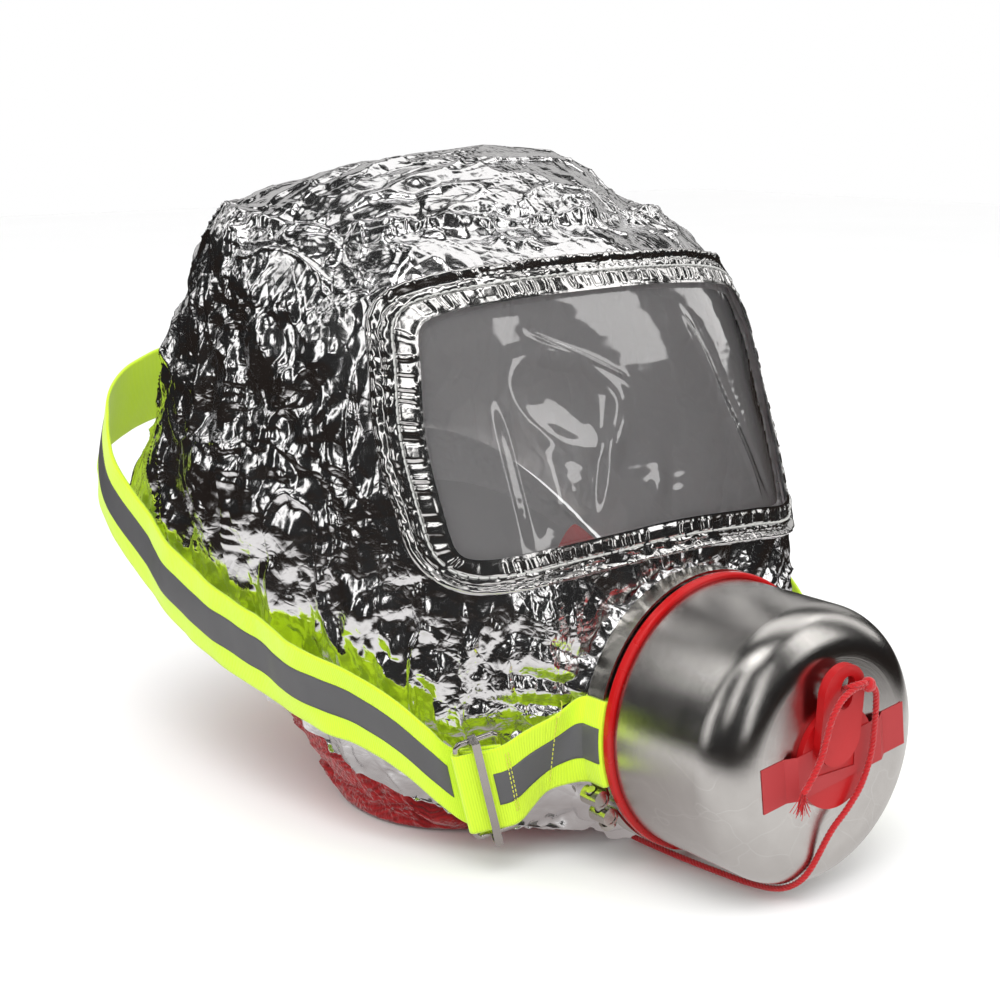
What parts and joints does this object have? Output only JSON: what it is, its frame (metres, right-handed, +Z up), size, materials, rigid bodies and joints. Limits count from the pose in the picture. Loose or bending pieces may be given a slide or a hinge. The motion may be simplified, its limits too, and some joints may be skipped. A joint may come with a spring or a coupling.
{
  "type": "smoke hood",
  "caption": "Escape smoke hood: aluminised foil hood with clear visor, steel filter canister with pull plug, red knit collar and adjustable lime webbing head strap.",
  "frame": {"origin": "centre of the bounding box at floor level, under the middle of the hood", "axes": "+Z up, the canister points to -Y, X runs across the wearer's face; the canister axis lies in the X = 0 plane"},
  "size_m": [0.267, 0.4035, 0.2785],
  "materials": {
    "steel_brushed": "satin",
    "red_rubber": "satin",
    "filter_felt": "matte",
    "desiccant_granules": "matte",
    "catalyst_granules": "matte",
    "spring_steel": "polished",
    "red_tape": "satin",
    "red_cord": "matte",
    "valve_plastic": "matte",
    "valve_silicone": "satin",
    "red_silicone": "satin",
    "nickel_wire": "polished",
    "aluminised_foil": "polished",
    "clear_film": "polished",
    "red_knit": "matte",
    "red_elastic": "matte",
    "nickel_plate": "polished",
    "lime_webbing": "matte",
    "reflective_tape": "satin"
  },
  "bodies": {
    "hood": {"canister_drum": "steel_brushed", "canister_inner_cup": "steel_brushed", "seal_ring": "red_rubber", "inlet_screen": "steel_brushed", "dust_filter_pad": "filter_felt", "desiccant_bed": "desiccant_granules", "separator_felt": "filter_felt", "catalyst_bed": "catalyst_granules", "fine_filter_felt": "filter_felt", "outlet_screen": "steel_brushed", "retaining_spring": "spring_steel", "inhale_valve_seat": "valve_plastic", "half_mask": "red_silicone", "mask_retaining_ring": "nickel_wire", "exhale_valve_seat": "valve_plastic", "exhale_valve_cover": "valve_plastic", "hood_front_panel": "aluminised_foil", "hood_rear_panel": "aluminised_foil", "hood_crown_panel": "aluminised_foil", "foil_sleeve": "aluminised_foil", "visor": "clear_film", "visor_frame": "aluminised_foil", "neck_collar": "red_knit", "collar_elastic": "red_elastic", "clamp_band": "nickel_plate", "clamp_barrel_plain": "nickel_plate", "clamp_barrel_tapped": "nickel_plate", "head_strap": "lime_webbing", "head_strap_tape": "reflective_tape", "strap_end_left": "lime_webbing", "strap_end_right": "lime_webbing", "strap_end_tape_left": "reflective_tape", "strap_end_tape_right": "reflective_tape"},
    "inlet_plug": {"front_plug": "red_rubber", "label_strip": "red_tape", "pull_cord_front": "red_cord"},
    "outlet_plug": {"rear_plug": "red_rubber", "pull_cord_rear": "red_cord"},
    "inhale_flap": {"inhale_valve_disc": "valve_silicone"},
    "exhale_flap": {"exhale_valve_disc": "valve_silicone"},
    "clamp_screw": {"clamp_bolt": "nickel_plate"},
    "buckle_left": {"buckle_frame_left": "nickel_wire"},
    "buckle_right": {"buckle_frame_right": "nickel_wire"},
    "slide_left": {"buckle_bar_left": "nickel_plate"},
    "slide_right": {"buckle_bar_right": "nickel_plate"}
  },
  "joints": [
    {"name": "inlet_plug_pull", "type": "slide", "parent": "hood", "child": "inlet_plug", "axis": [0, -1, 0], "range_m": [0, 0.06]},
    {"name": "outlet_plug_pull", "type": "slide", "parent": "hood", "child": "outlet_plug", "axis": [0, 1, 0], "range_m": [0, 0.03]},
    {"name": "inhale_valve_lift", "type": "slide", "parent": "hood", "child": "inhale_flap", "axis": [0, 1, 0], "range_m": [0, 0.0015]},
    {"name": "exhale_valve_lift", "type": "slide", "parent": "hood", "child": "exhale_flap", "axis": [0, 0, -1], "range_m": [0, 0.0015]},
    {"name": "clamp_screw_turn", "type": "hinge", "parent": "hood", "child": "clamp_screw", "pos_m": [-0.05272, -0.11755, 0.02829], "axis": [0.4909, 0, -0.8712], "continuous": true},
    {"name": "buckle_tilt_left", "type": "hinge", "parent": "hood", "child": "buckle_left", "pos_m": [-0.09597, -0.0886, 0.03516], "axis": [0.287, 0.0513, -0.9566], "range_deg": [-3, 5]},
    {"name": "buckle_tilt_right", "type": "hinge", "parent": "hood", "child": "buckle_right", "pos_m": [0.09597, -0.0886, 0.03516], "axis": [0.287, -0.0513, 0.9566], "range_deg": [-3, 5]},
    {"name": "buckle_slide_left", "type": "slide", "parent": "buckle_left", "child": "slide_left", "axis": [0.889, -0.3862, 0.246], "range_m": [-0.003, 0.003]},
    {"name": "buckle_slide_right", "type": "slide", "parent": "buckle_right", "child": "slide_right", "axis": [-0.889, -0.3862, 0.246], "range_m": [-0.003, 0.003]}
  ]
}
